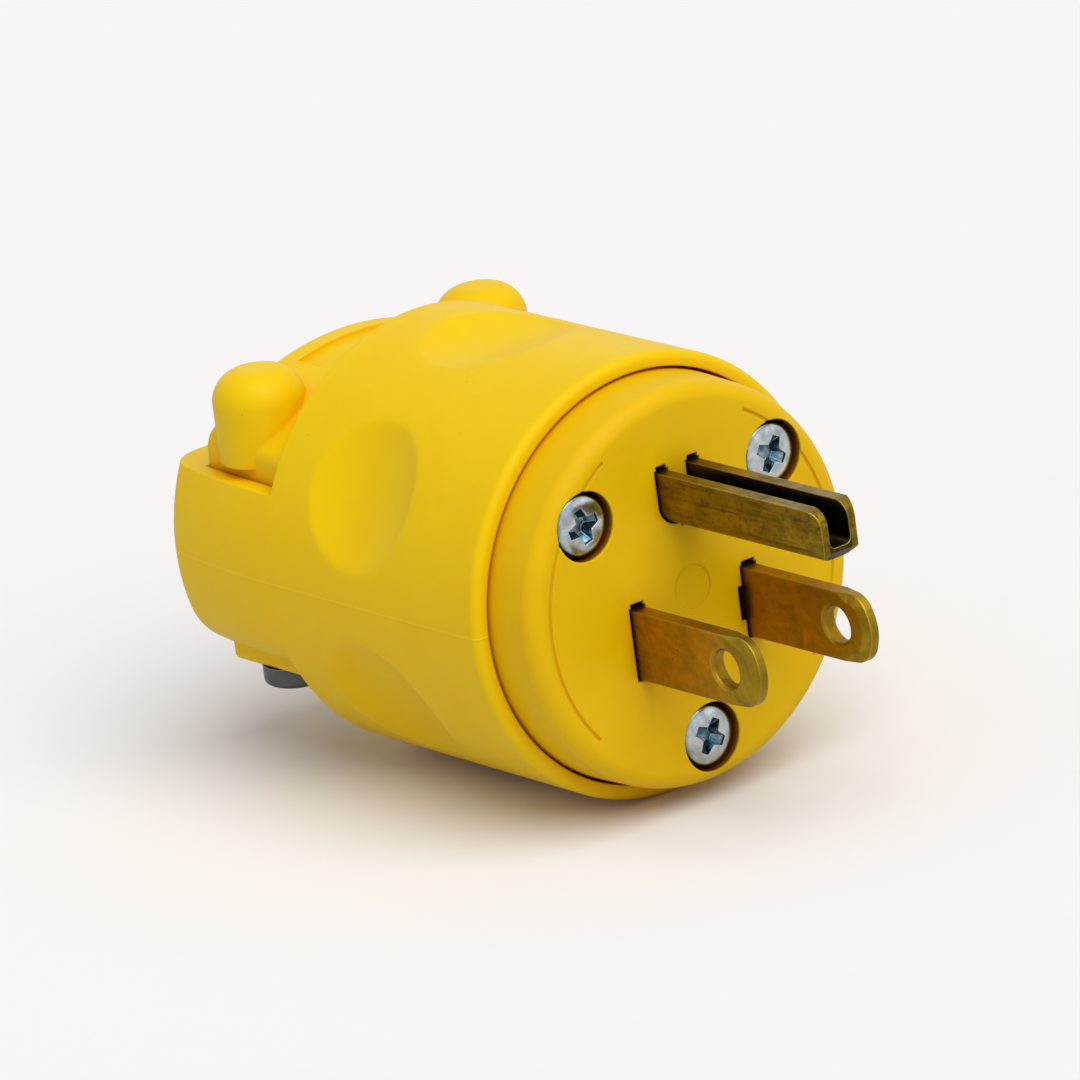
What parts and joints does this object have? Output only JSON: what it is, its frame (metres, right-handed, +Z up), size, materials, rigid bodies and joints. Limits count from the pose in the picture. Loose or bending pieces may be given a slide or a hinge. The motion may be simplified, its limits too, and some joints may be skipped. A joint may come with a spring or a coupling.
{
  "type": "industrial plug",
  "caption": "Industrial straight-blade plug with a folded ground pin, a screwed front cover, a gripped round body and a screwed cord clamp.",
  "frame": {"origin": "centre of the mating face, on the axis of the round body", "axes": "-Y out of the mating face along the pins, +Y to the cord end, +Z up through the ground pin"},
  "size_m": [0.04, 0.073, 0.04],
  "materials": {
    "shell_vinyl": "satin",
    "cover_nylon": "satin",
    "insulator": "matte",
    "brass_strip": "satin",
    "zinc_steel": "bright",
    "dark_steel": "satin"
  },
  "bodies": {
    "root": {"shell": "shell_vinyl", "front_cover": "cover_nylon", "cord_clamp": "shell_vinyl", "blade_retainer": "insulator", "blade_hot": "brass_strip", "blade_neutral": "brass_strip", "ground_pin": "brass_strip", "wire_clamp_hot": "zinc_steel", "wire_clamp_neutral": "zinc_steel", "wire_clamp_ground": "zinc_steel", "terminal_screw_hot": "zinc_steel", "terminal_screw_neutral": "zinc_steel", "terminal_screw_ground": "zinc_steel", "face_screw_left": "zinc_steel", "face_screw_right": "zinc_steel", "face_screw_bottom": "zinc_steel", "clamp_screw_left": "dark_steel", "clamp_screw_right": "dark_steel"}
  },
  "joints": []
}
